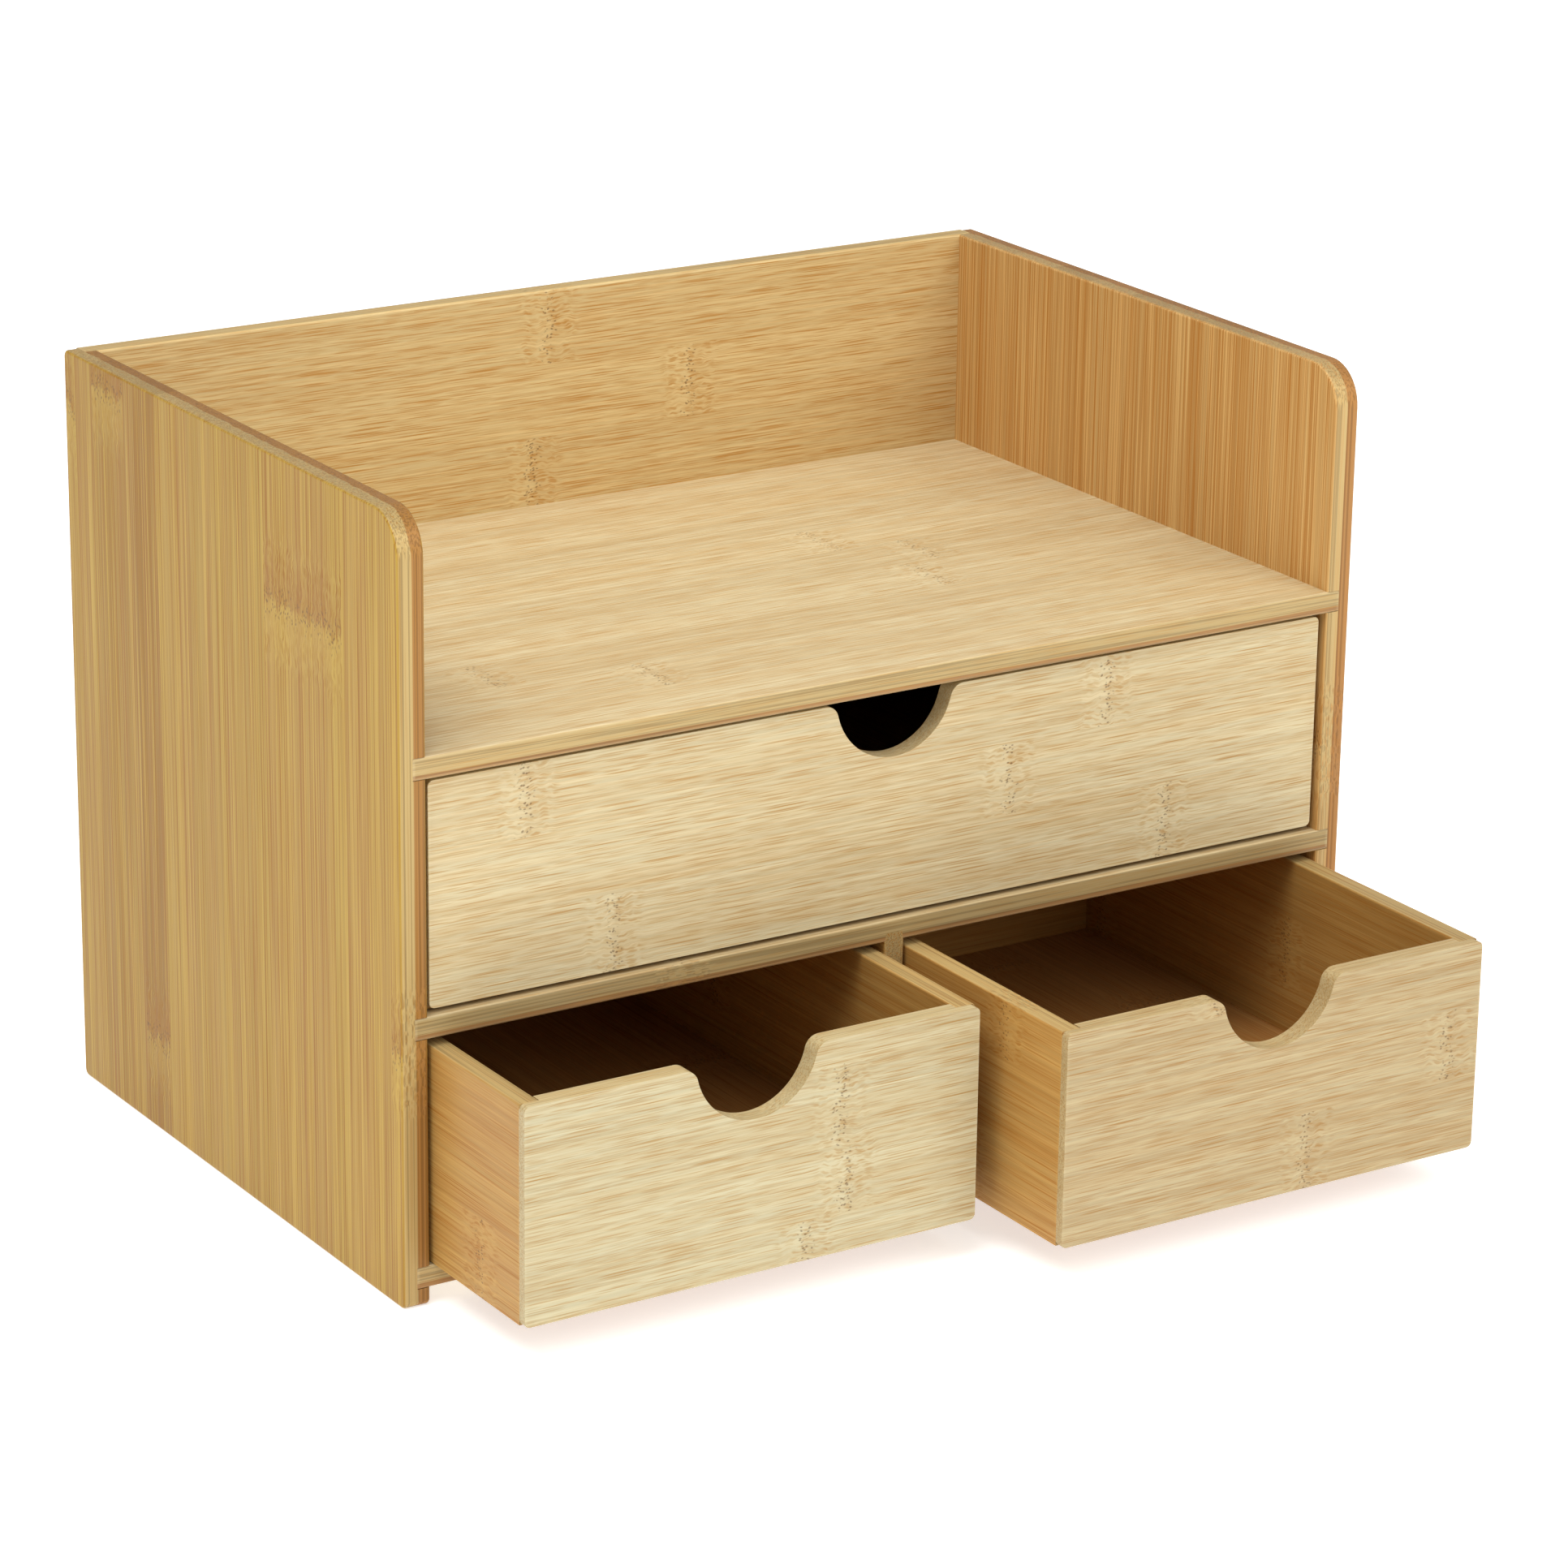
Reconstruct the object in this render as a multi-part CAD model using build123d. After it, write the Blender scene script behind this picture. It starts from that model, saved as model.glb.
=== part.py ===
from build123d import *
import os

# Bamboo desk organizer: an open tray on top, one wide drawer under it and two
# half-width drawers side by side at the bottom. All sizes are in millimetres.
# +X is to the right as the drawers are faced, +Y is to the back, +Z is up.

# ---- cabinet ---------------------------------------------------------------
cabinet_width = 330.0
cabinet_depth = 210.0
cabinet_height = 235.0
side_thickness = 8.4
board_thickness = 6.6          # shelves, base, divider and back
dado_depth = side_thickness / 2  # how far the boards are let into the sides
tray_floor_z = 165.0           # upper face of the top shelf
middle_shelf_z = 88.0          # upper face of the middle shelf
base_z = 12.2                  # upper face of the base panel
divider_housing = 2.7          # how far the divider is let into shelf and base
tray_corner_radius = 13.0      # round upper front corner of each side
foot_corner_radius = 2.2       # lower rear corner of each side
side_edge_round = 0.9          # sanded edges of the sides and the back's top
shelf_edge_round = 0.6         # sanded front edges of shelves and divider

# ---- drawers ---------------------------------------------------------------
drawer_board = 6.4             # front, sides and back of every drawer
drawer_bottom_board = 4.0
drawer_length = 198.6          # outer face of the front to the rear end
tongue_thickness = 3.0         # what the end rabbet leaves of the front board
back_rabbet = 3.2              # how far the back is let into the sides
bottom_groove = 2.4            # depth of the groove that holds the bottom
bottom_lift = 5.7              # groove's lower face above the drawer's lower edge
bottom_play = 0.3              # room for the bottom to swell in its grooves
front_corner_radius = 1.8      # corners of the front as seen face on
front_edge_round = 1.1         # sanded outer edges of the front
drawer_edge_round = 0.6        # sanded upper edges of sides and back

notch_radius = 20.2            # finger notch in the upper edge of each front
notch_centre_rise = 1.3        # notch centre above the front's upper edge
notch_shoulder_radius = 4.5    # round shoulders where the notch meets the edge

running_clearance = 0.3        # drawer's lower edge above the board it runs on
closed_recess = 2.0            # front's outer face behind the cabinet's front
wide_side_play = 1.5           # wide drawer to each side of its bay
half_side_play = 1.2           # half-width drawer to each side of its bay
wide_front_lift = 1.1          # wide front ends this far above its own box
wide_top_play = 1.3            # wide drawer to the shelf above it
half_top_play = 2.7            # half-width drawers to the shelf above them

# How far each drawer stands open at rest, its front ahead of the cabinet's.
left_pull = 52.0
right_pull = 83.0

# The origin is on the surface that the object stands on, under the middle of
# the whole outline with the drawers as they stand.
cabinet_front_y = (right_pull - cabinet_depth) / 2

LOW = (Align.CENTER, Align.MIN, Align.MIN)
inner_half_width = cabinet_width / 2 - side_thickness
housed_width = cabinet_width - 2 * (side_thickness - dado_depth)
inner_depth = cabinet_depth - board_thickness
base_underside_z = base_z - board_thickness
shelf_levels = [tray_floor_z, middle_shelf_z, base_z]


def board(x_size, y_size, z_size, x=0.0, y=0.0, z=0.0):
    """A plain board, centred on x, with its front face at y and its foot at z."""
    return Pos(x, y, z) * Box(x_size, y_size, z_size, align=LOW)


def edges_along(solid, axis, at_axis, at_value):
    """The straight edges that run along one axis where another has one value."""
    place = {Axis.X: "X", Axis.Y: "Y", Axis.Z: "Z"}[at_axis]
    edges = solid.edges().filter_by(axis)
    return edges.filter_by(lambda edge: abs(getattr(edge.center(), place) - at_value) < 1e-4)


def left_side_board():
    """One side of the cabinet, housed for the shelves, the base and the back."""
    outline = Rectangle(cabinet_depth, cabinet_height, align=(Align.MIN, Align.MIN))
    upper_front = outline.vertices().sort_by_distance((0, cabinet_height))[0]
    outline = fillet(upper_front, tray_corner_radius)
    for corner in [(cabinet_depth, 0), (0, 0), (cabinet_depth, cabinet_height)]:
        outline = fillet(outline.vertices().sort_by_distance(corner)[0], foot_corner_radius)
    side = Pos(-cabinet_width / 2, 0, 0) * extrude(Plane.YZ * outline, side_thickness)
    faces = side.faces().sort_by(Axis.X)
    side = fillet(faces[0].edges() + faces[-1].edges(), side_edge_round)
    groove_x = -inner_half_width - dado_depth / 2
    for level in shelf_levels:
        side -= board(dado_depth, inner_depth, board_thickness, groove_x, 0, level - board_thickness)
    side -= board(dado_depth, board_thickness, cabinet_height, groove_x, inner_depth, 0)
    return side


def shelf(level):
    """A horizontal board between the sides, its front edges sanded round."""
    plank = board(housed_width, inner_depth, board_thickness, z=level - board_thickness)
    return fillet(edges_along(plank, Axis.X, Axis.Y, 0), shelf_edge_round)


def divider_board():
    """The upright between the two half-width bays, let into shelf and base."""
    foot = base_z - divider_housing
    head = middle_shelf_z - board_thickness + divider_housing
    upright = board(board_thickness, inner_depth, head - foot, z=foot)
    return fillet(edges_along(upright, Axis.Z, Axis.Y, 0), shelf_edge_round / 2)


def back_board():
    """The back, let into the sides' rear rabbets, its upper edges sanded round."""
    height = cabinet_height - base_underside_z
    panel = board(housed_width, board_thickness, height, y=inner_depth, z=base_underside_z)
    return fillet(edges_along(panel, Axis.X, Axis.Z, cabinet_height), side_edge_round)


def drawer_front(width, height, foot):
    """A drawer front with its finger notch, end rabbets and bottom groove."""
    outline = Pos(0, foot) * Rectangle(width, height - foot, align=(Align.CENTER, Align.MIN))
    outline = fillet(outline.vertices(), front_corner_radius)
    outline -= Pos(0, height + notch_centre_rise) * Circle(notch_radius)
    shoulders = outline.vertices().sort_by_distance((0, height))[:2]
    outline = fillet(shoulders, notch_shoulder_radius)
    front = extrude(Plane.XZ * outline, -drawer_board)
    outer_face = front.faces().sort_by(Axis.Y)[0]
    front = fillet(outer_face.edges(), front_edge_round)
    inner_face = front.faces().sort_by(Axis.Y)[-1]
    rim = inner_face.edges().filter_by(lambda edge: edge.center().Z > bottom_lift * 2)
    front = fillet(rim.filter_by(lambda edge: abs(edge.center().X) < width / 2 - 1), drawer_edge_round)
    rabbet = drawer_board - tongue_thickness
    for end in (-1, 1):
        end_x = end * (width - drawer_board) / 2
        front -= board(drawer_board, rabbet, height, end_x, tongue_thickness, 0)
    groove_y = drawer_board - bottom_groove
    groove_width = width - 2 * drawer_board
    return front - board(groove_width, bottom_groove, drawer_bottom_board, 0, groove_y, bottom_lift)


def drawer_left_side(width, height):
    """A drawer side, from the front's tongue to the drawer's rear end."""
    length = drawer_length - tongue_thickness
    centre_x = (drawer_board - width) / 2
    side = board(drawer_board, length, height, centre_x, tongue_thickness)
    side = fillet(edges_along(side, Axis.Y, Axis.Z, height), drawer_edge_round)
    inner_x = drawer_board - width / 2
    groove_x = inner_x - bottom_groove / 2
    side -= board(bottom_groove, length, drawer_bottom_board, groove_x, tongue_thickness, bottom_lift)
    rabbet_y = drawer_length - drawer_board
    return side - board(back_rabbet, drawer_board, height, inner_x - back_rabbet / 2, rabbet_y, 0)


def drawer_back(width, height):
    """The drawer's back, let into the sides, with its groove for the bottom."""
    inner_y = drawer_length - drawer_board
    length = width - 2 * (drawer_board - back_rabbet)
    back = board(length, drawer_board, height, y=inner_y)
    back = fillet(edges_along(back, Axis.X, Axis.Z, height), drawer_edge_round)
    groove_width = width - 2 * (drawer_board - bottom_groove)
    return back - board(groove_width, bottom_groove, drawer_bottom_board, 0, inner_y, bottom_lift)


def drawer_bottom(width):
    """The thin bottom, loose in the grooves of the four boards round it."""
    reach = bottom_groove - bottom_play
    x_size = width - 2 * (drawer_board - reach)
    y_size = drawer_length - 2 * (drawer_board - reach)
    return board(x_size, y_size, drawer_bottom_board, 0, drawer_board - reach, bottom_lift)


def drawer(name, width, height, front_foot, centre_x, front_y, foot_z):
    """All boards of one drawer, set where the drawer stands at rest."""
    left_side = drawer_left_side(width, height)
    boards = {
        "front": drawer_front(width, height, front_foot),
        "left_side": left_side,
        "right_side": mirror(left_side, Plane.YZ),
        "back": drawer_back(width, height),
        "bottom": drawer_bottom(width),
    }
    place = Pos(centre_x, front_y, foot_z)
    return {f"{name}_{board_name}": place * solid for board_name, solid in boards.items()}


left_side = left_side_board()
middle_shelf = shelf(middle_shelf_z)
base_panel = shelf(base_z)
divider = divider_board()

nodes = {
    "left_side_panel": left_side,
    "right_side_panel": mirror(left_side, Plane.YZ),
    "back_panel": back_board(),
    "top_shelf": shelf(tray_floor_z),
    "middle_shelf": middle_shelf - divider,
    "base_panel": base_panel - divider,
    "drawer_divider": divider,
}

wide_width = 2 * (inner_half_width - wide_side_play)
wide_foot = middle_shelf_z + running_clearance
wide_height = tray_floor_z - board_thickness - wide_top_play - wide_foot
nodes |= drawer("wide_drawer", wide_width, wide_height, wide_front_lift, 0, closed_recess, wide_foot)

half_bay = inner_half_width - board_thickness / 2
half_width = half_bay - 2 * half_side_play
half_centre = (inner_half_width + board_thickness / 2) / 2
half_foot = base_z + running_clearance
half_height = middle_shelf_z - board_thickness - half_top_play - half_foot
nodes |= drawer("left_drawer", half_width, half_height, 0, -half_centre, -left_pull, half_foot)
nodes |= drawer("right_drawer", half_width, half_height, 0, half_centre, -right_pull, half_foot)

os.makedirs("parts", exist_ok=True)
for node, solid in nodes.items():
    export_step(Pos(0, cabinet_front_y, 0) * solid, f"parts/{node}.step")
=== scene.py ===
"""Finishes a bamboo desk organizer: boards glued up from bamboo strips, satin lacquer, soft light.

Every board is described the way a maker would lay it up: which way its grain runs, how wide
its strips are and in which strips the bamboo's knots fall. One recipe turns that into a finish.
"""

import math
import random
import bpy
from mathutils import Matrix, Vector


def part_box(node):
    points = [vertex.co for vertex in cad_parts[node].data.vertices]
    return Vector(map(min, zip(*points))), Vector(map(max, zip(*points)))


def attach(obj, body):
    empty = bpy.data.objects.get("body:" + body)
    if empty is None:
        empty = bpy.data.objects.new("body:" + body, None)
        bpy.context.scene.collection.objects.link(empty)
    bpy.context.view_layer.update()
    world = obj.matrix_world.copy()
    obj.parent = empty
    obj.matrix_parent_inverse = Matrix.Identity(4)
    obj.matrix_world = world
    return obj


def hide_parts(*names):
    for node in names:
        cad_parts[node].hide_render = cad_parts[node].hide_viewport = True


bl_info = {
    "name": "Bamboo Desk Organizer",
    "version": (1, 0, 0),
    "blender": (4, 5, 0),
    "location": "3D View > Sidebar > Organizer",
    "description": "Finishes the boards of a bamboo desk organizer and sets up its studio",
    "category": "Object",
}

import bmesh
import bpy
from bpy.props import FloatProperty, FloatVectorProperty, PointerProperty
from mathutils import Matrix, Quaternion, Vector

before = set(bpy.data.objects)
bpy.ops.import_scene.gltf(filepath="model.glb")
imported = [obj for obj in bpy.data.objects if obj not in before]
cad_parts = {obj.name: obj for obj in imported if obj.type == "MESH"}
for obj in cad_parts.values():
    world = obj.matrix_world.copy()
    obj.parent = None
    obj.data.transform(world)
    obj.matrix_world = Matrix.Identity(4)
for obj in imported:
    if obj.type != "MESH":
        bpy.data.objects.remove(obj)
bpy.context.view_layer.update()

MM = 1000.0          # millimetres in a metre
HAIR = 0.001         # millimetres too few to hold another strip
FLOOR_REACH = 12.0   # metres of floor to each side of the object
KEY_SIZE, KEY_PLACE = 1.6, (0.7, -1.9, 1.5)
OVERHEAD_SIZE, OVERHEAD_PLACE = 1.2, (-0.75, -0.35, 1.75)
LIGHT_AIM = (0, 0, 0.1)
AIM_Y = -0.002       # the point that the camera looks at, ahead of the origin


# ---- sizes and colours that a user may change ----------------------------------------------


def tint(name, description, default):
    """A colour that the sidebar shows as a swatch."""
    return FloatVectorProperty(
        name=name, description=description, default=default, subtype="COLOR", min=0, max=1, size=3
    )


def length(name, description, millimetres):
    """A length that the sidebar shows in scene units."""
    return FloatProperty(
        name=name, description=description, default=millimetres / MM, min=0, unit="LENGTH", precision=5
    )


def share(name, description, default):
    """A share from none to all."""
    return FloatProperty(
        name=name, description=description, default=default, min=0, max=1, subtype="FACTOR"
    )


class OrganizerBamboo(bpy.types.PropertyGroup):
    """Colours and grain of the bamboo."""

    front: tint("Drawer fronts", "Face colour of the drawer fronts", (0.60, 0.51, 0.31))
    # Partly the sides' own deeper tone and partly painted shade: set darker so that the left side's outer
    # face looks shaded; the right side lifts it again with its tint
    side: tint("Sides", "Face colour of the cabinet's sides", (0.385, 0.25, 0.042))
    shelf: tint("Shelves", "Face colour of the shelves", (0.565, 0.47, 0.28))
    back: tint("Back", "Face colour of the back", (0.62, 0.47, 0.225))
    box: tint("Drawer sides", "Face colour of the drawers' sides and backs", (0.45, 0.265, 0.078))
    # Partly the bottoms' own redder tone and partly painted shade: set darker for the shade inside the
    # drawers
    floor: tint("Drawer bottoms", "Face colour of the drawers' bottoms", (0.36, 0.18, 0.055))
    warm: tint("Warm bands", "What the warmer bands keep of the face colour", (0.96, 0.76, 0.52))
    pale_ply: tint("Pale ply", "Edge colour of a board's pale layer", (0.42, 0.30, 0.125))
    dark_ply: tint("Dark ply", "Edge colour of a board's dark layer", (0.30, 0.14, 0.04))
    fibre: tint("Fibres", "What the dark fibre bundles keep of the face colour", (0.76, 0.50, 0.24))
    sap_lift: FloatProperty(
        name="Sap streaks", description="How much paler the streaks between the fibres are than the face",
        default=1.25, min=1, max=2,
    )
    pore: tint("Pores", "Colour of the open pores at a knot", (0.10, 0.045, 0.015))
    strip: length("Strip width", "Usual width of one bamboo strip", 22.0)
    fibre_length: length("Fibre length", "Usual length of a visible fibre dash", 20.0)
    fibre_width: length("Fibre width", "Usual width of a visible fibre dash", 0.5)
    knot_reach: length("Knot reach", "How far a knot disturbs the grain to each side", 13.0)
    # Width of the painted highlight: a paler line along sanded edges that stands in for light catching their
    # round
    edge_highlight_width: length("Edge highlight", "Width of the polished line along sanded edges", 1.1)
    roughness: share("Lacquer roughness", "How dull the satin lacquer is", 0.42)
    coat: share("Lacquer coat", "How much clear lacquer lies on the wood", 0.03)
    coat_roughness: share("Coat roughness", "How dull the clear coat is", 0.3)


class OrganizerFronts(bpy.types.PropertyGroup):
    """Shape of the drawer fronts."""

    notch_radius: length("Notch radius", "Radius of the finger notch", 20.2)
    notch_rise: length("Notch rise", "Height of the notch's centre above the front's upper edge", 1.3)
    shoulder_radius: length("Shoulder radius", "Round where the upper edge turns into the notch", 4.5)
    corner_radius: length("Corner radius", "Round of the four corners, seen from ahead", 1.8)
    outer_round: length("Outer edge", "Sanded round of the outer edges", 1.1)
    inner_round: length("Inner edge", "Sanded round of the upper inner edge", 0.6)
    groove_depth: length("Groove depth", "Depth of the groove that holds the bottom", 2.4)


class OrganizerStudio(bpy.types.PropertyGroup):
    """Camera, floor and light."""

    azimuth: FloatProperty(
        name="Azimuth", description="Camera's turn to the left of the front",
        default=math.radians(32.606), subtype="ANGLE",
    )
    elevation: FloatProperty(
        name="Elevation", description="Camera's height above the horizon",
        default=math.radians(18.885), subtype="ANGLE",
    )
    roll: FloatProperty(
        name="Roll", description="Camera's tilt about its own line of sight",
        default=math.radians(0.801), subtype="ANGLE",
    )
    distance: FloatProperty(
        name="Distance", description="Camera to the point it looks at",
        default=1.6525, unit="LENGTH",
    )
    lens: FloatProperty(name="Lens", description="Focal length in millimetres", default=125.47)
    aim_height: FloatProperty(
        name="Aim height", description="Height of the point the camera looks at",
        default=0.112, unit="LENGTH",
    )
    sky: FloatProperty(name="Sky", description="Strength of the light overhead", default=0.72)
    horizon: share("Horizon", "Strength of the light from the sides, as a share of the light overhead", 0.45)
    key: FloatProperty(
        name="Key light", description="Power of the large soft light ahead of the object",
        default=24.0, unit="POWER",
    )
    overhead: FloatProperty(
        name="Overhead light", description="Power of the large soft light above",
        default=24.0, unit="POWER",
    )
    floor_colour: tint("Floor", "Colour of the plain floor", (0.85, 0.85, 0.85))
    floor_glow: share("Floor glow", "Light that the translucent floor lets through from below", 0.58)


# ---- node tools ----------------------------------------------------------------------------


class Nodes:
    """Adds nodes to a tree; an input is wired if it is given a socket and set otherwise."""

    def __init__(self, tree):
        self.tree = tree

    def add(self, kind, inputs=None, **settings):
        node = self.tree.nodes.new(kind)
        for name, value in settings.items():
            setattr(node, name, value)
        self.feed(node, inputs or {})
        return node

    def feed(self, node, inputs):
        for name, value in inputs.items():
            if isinstance(value, bpy.types.NodeSocket):
                self.tree.links.new(value, node.inputs[name])
            else:
                node.inputs[name].default_value = value

    def math(self, operation, *values):
        return self.add("ShaderNodeMath", dict(enumerate(values)), operation=operation).outputs[0]

    def spread(self, value, low, high, start=0.0, end=1.0):
        """Start where the value is low, end where it is high, and a soft run between them."""
        limits = {"Value": value, "From Min": low, "From Max": high, "To Min": start, "To Max": end}
        return self.add("ShaderNodeMapRange", limits, interpolation_type="SMOOTHSTEP").outputs[0]

    def scaled(self, colour, factor):
        inputs = {0: colour, "Scale": factor}
        return self.add("ShaderNodeVectorMath", inputs, operation="SCALE").outputs[0]

    def mixed(self, factor, first, second):
        inputs = {0: factor, 6: first, 7: second}
        return self.add("ShaderNodeMix", inputs, data_type="RGBA").outputs[2]


def rgba(colour):
    return (*colour, 1.0)


def toned(colour, tone):
    """A colour with each channel scaled by its own share."""
    return tuple(min(channel * part, 1.0) for channel, part in zip(colour, tone))


# ---- how a board is laid up ----------------------------------------------------------------


USUAL_LOOKS = {
    # tint also carries painted light on the right side and painted shade on the lower drawer fronts
    "tint": (1, 1, 1),       # what the board keeps of its face colour
    "contrast": 1.0,         # strength of its soft bands
    "strip_contrast": 0.16,  # how far apart its strips are in brightness
    "strip_warm": 0.15,      # how much warmer its dark strips are
    "stretch": 1.0,          # how much longer its fibres are than usual
    "dash_strength": 0.85,   # how dark its fibre dashes are
    "line_strength": 0.16,   # how dark its long lines are
    "pale_strength": 0.4,    # how pale its sap streaks are
    "reach": 1.0,            # how much farther its knots reach than usual
    "flame": 5.0,            # how ragged its knots are, in millimetres
    "knot_dark": 0.14,       # how dark it is on one side of a knot
    "knot_pale": 0.22,       # how pale it is on the other side
    "knot_span": (-1, 1),    # where unplaced knots may fall, as shares of its half length
    "plies": ("pale_ply", "pale_ply"),
    "joint": 0.2,            # where its two plies meet, in millimetres from its middle
    "ply_show": 0.9,         # how clearly its plies show on its edges
    "end_shade": 0.82,       # how much darker its end grain is
}
LOWEST_WIDTH, HIGHEST_WIDTH = 0.85, 1.15  # strips against their usual width
NARROWEST = 0.3              # a remainder below this share joins the last strip


class Strip:
    """One bamboo strip of a board: its width, its shade and where its knots are, in millimetres."""

    def __init__(self, width, shade, *knots):
        self.width = width
        self.shade = shade
        self.knots = knots


class Board:
    """A board of the frame: its grain, its lay-up and its colours."""

    def __init__(self, node, grain, face, colour, seed, strips=(), **looks):
        self.node = node
        self.low, self.high = (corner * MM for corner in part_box(node))
        self.middle = (self.low + self.high) / 2
        self.grain = "XYZ".index(grain)
        self.face = "XYZ".index(face)
        self.width_axis = 3 - self.grain - self.face
        self.colour = colour
        self.seed = seed
        self.strips = list(strips)
        self.looks = {**USUAL_LOOKS, **looks}

    def size(self, axis):
        return self.high[axis] - self.low[axis]

    def lay_up(self, usual_width):
        """Fills what the chosen strips leave of the width with strips of about the usual width."""
        draw = random.Random(self.seed)
        left = self.size(self.width_axis) - sum(strip.width for strip in self.strips)
        strips = list(self.strips)
        reach = self.size(self.grain) / 2
        while left > HAIR:
            width = min(left, usual_width * draw.uniform(LOWEST_WIDTH, HIGHEST_WIDTH))
            if left - width < usual_width * NARROWEST:
                width = left
            strips.append(Strip(width, draw.uniform(-1, 1), reach * draw.uniform(*self.looks["knot_span"])))
            left -= width
        return strips


# ---- the bamboo finish ---------------------------------------------------------------------


def knot_group():
    """A knot crosses one strip: how deep in it a point is, and on which side of its middle."""
    name = "bamboo_knot"
    if name in bpy.data.node_groups:
        return bpy.data.node_groups[name]
    group = bpy.data.node_groups.new(name, "ShaderNodeTree")
    for socket in ("Along", "Across", "Place", "Middle", "Half width", "Reach", "Knots", "Sides"):
        group.interface.new_socket(name=socket, in_out="INPUT", socket_type="NodeSocketFloat")
    for socket in ("Knots", "Sides"):
        group.interface.new_socket(name=socket, in_out="OUTPUT", socket_type="NodeSocketFloat")
    knot = Nodes(group)
    given = knot.add("NodeGroupInput").outputs
    gap = knot.math("SUBTRACT", given["Along"], given["Place"])
    near = knot.spread(knot.math("ABSOLUTE", gap), 0.0, given["Reach"], 1.0, 0.0)
    inside = knot.math("COMPARE", given["Across"], given["Middle"], given["Half width"])
    depth = knot.math("MULTIPLY", near, inside)
    side = knot.math("MULTIPLY", knot.spread(gap, -0.8, 0.8, -1.0, 1.0), depth)
    result = {
        "Knots": knot.math("MAXIMUM", depth, given["Knots"]),
        "Sides": knot.math("ADD", side, given["Sides"]),
    }
    knot.add("NodeGroupOutput", result)
    return group


class Bamboo:
    """The finish of one board, built up in the order in which the wood is worked."""

    # Length and width of a pattern against the usual fibre, then how full the dashes are or
    # between which levels of the noise the streaks come up.
    long_dashes = (1.0, 1.0, 0.50)
    fine_dashes = (0.45, 0.8, 0.50)
    knot_dashes = (0.18, 1.5, 0.62)
    long_lines = (5.0, 1.0, 0.49, 0.58)
    sap_streaks = (1.5, 1.1, 0.54, 0.66)
    soft_patches = (8.0, 12.0, 0.3, 0.7)
    narrow_bands = (12.0, 2.6, 0.42, 0.58)
    pore_length, pore_width = 1.5, 0.9      # millimetres
    bend_reach = 1.8                        # how far fibres bend at a knot, in millimetres
    shift_per_shade = 613.0                 # keeps neighbouring strips' fibres apart

    def __init__(self, board, look):
        self.board = board
        self.look = look
        self.material = bpy.data.materials.new("bamboo_" + board.node)
        self.material.use_nodes = True
        self.material.node_tree.nodes.clear()
        self.wood = Nodes(self.material.node_tree)
        self.lay_axes()
        self.lay_strips()
        self.set_knots()
        self.draw_fibres()
        self.open_pores()
        self.colour_face()
        self.colour_edges()
        self.paint_edge_highlights()
        self.lacquer()

    def lay_axes(self):
        """Millimetres along the grain, across it and through the board, from its middle."""
        wood, board = self.wood, self.board
        coordinates = wood.add("ShaderNodeTexCoord").outputs
        centred = {"Vector": coordinates["Object"], "Location": -board.middle, "Scale": (MM, MM, MM)}
        place = wood.add("ShaderNodeSeparateXYZ", {0: wood.add("ShaderNodeMapping", centred).outputs[0]})
        facing = wood.add("ShaderNodeSeparateXYZ", {0: coordinates["Normal"]})
        self.along = place.outputs[board.grain]
        self.across = place.outputs[board.width_axis]
        self.through = place.outputs[board.face]
        self.on_face = wood.math("ABSOLUTE", facing.outputs[board.face])
        self.on_end = wood.math("ABSOLUTE", facing.outputs[board.grain])

    def lay_strips(self):
        """A shade for each strip across the board."""
        wood, board = self.wood, self.board
        self.strips = board.lay_up(self.look.strip * MM)
        width = board.size(board.width_axis)
        half = width / 2
        limits = {"Value": self.across, "From Min": -half, "From Max": half}
        share_across = wood.add("ShaderNodeMapRange", limits).outputs[0]
        shades = wood.add("ShaderNodeValToRGB", {"Fac": share_across})
        ramp = shades.color_ramp
        ramp.interpolation = "CONSTANT"
        ramp.elements.remove(ramp.elements[1])
        start = 0.0
        for strip in self.strips:
            stop = ramp.elements.new(start / width) if start else ramp.elements[0]
            stop.color = rgba([0.5 + strip.shade / 2] * 3)
            start += strip.width
        self.shade = shades.outputs[0]

    def set_knots(self):
        """Gathers the knots of all strips, each with its own ragged line."""
        wood, board, look = self.wood, self.board, self.look
        coarse = {"W": self.across, "Scale": 0.14, "Detail": 4.0, "Roughness": 0.8}
        ragged = wood.add("ShaderNodeTexNoise", coarse, noise_dimensions="1D").outputs[0]
        flame = board.looks["flame"]
        reach = look.knot_reach * MM * board.looks["reach"]
        along = wood.math("ADD", self.along, wood.math("MULTIPLY_ADD", ragged, 2 * flame, -flame))
        self.knots, self.sides = 0.0, 0.0
        start = -board.size(board.width_axis) / 2
        for strip in self.strips:
            middle = start + strip.width / 2
            for place in strip.knots:
                knot = wood.add("ShaderNodeGroup", node_tree=knot_group())
                wood.feed(knot, {
                    "Along": along, "Across": self.across, "Place": place, "Middle": middle,
                    "Half width": strip.width / 2, "Reach": reach,
                    "Knots": self.knots, "Sides": self.sides,
                })
                self.knots, self.sides = knot.outputs["Knots"], knot.outputs["Sides"]
            start += strip.width

    def stretched(self, length, width, seed):
        """The board's place with the grain squeezed so that one unit is one streak."""
        inputs = {
            "Vector": self.place, "Location": (seed * 3.1, seed * 1.7, seed * 0.6),
            "Scale": (1 / length, 1 / width, 1 / width),
        }
        return self.wood.add("ShaderNodeMapping", inputs).outputs[0]

    def streaks(self, pattern, seed):
        """Long streaks along the grain: none where the noise is low, full where it is high."""
        length, width, low, high = pattern
        place = self.stretched(self.fibre_length * length, self.fibre_width * width, seed)
        inputs = {"Vector": place, "Scale": 1.0, "Detail": 2.0}
        noise = self.wood.add("ShaderNodeTexNoise", inputs).outputs[0]
        return self.wood.spread(noise, low, high)

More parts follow.
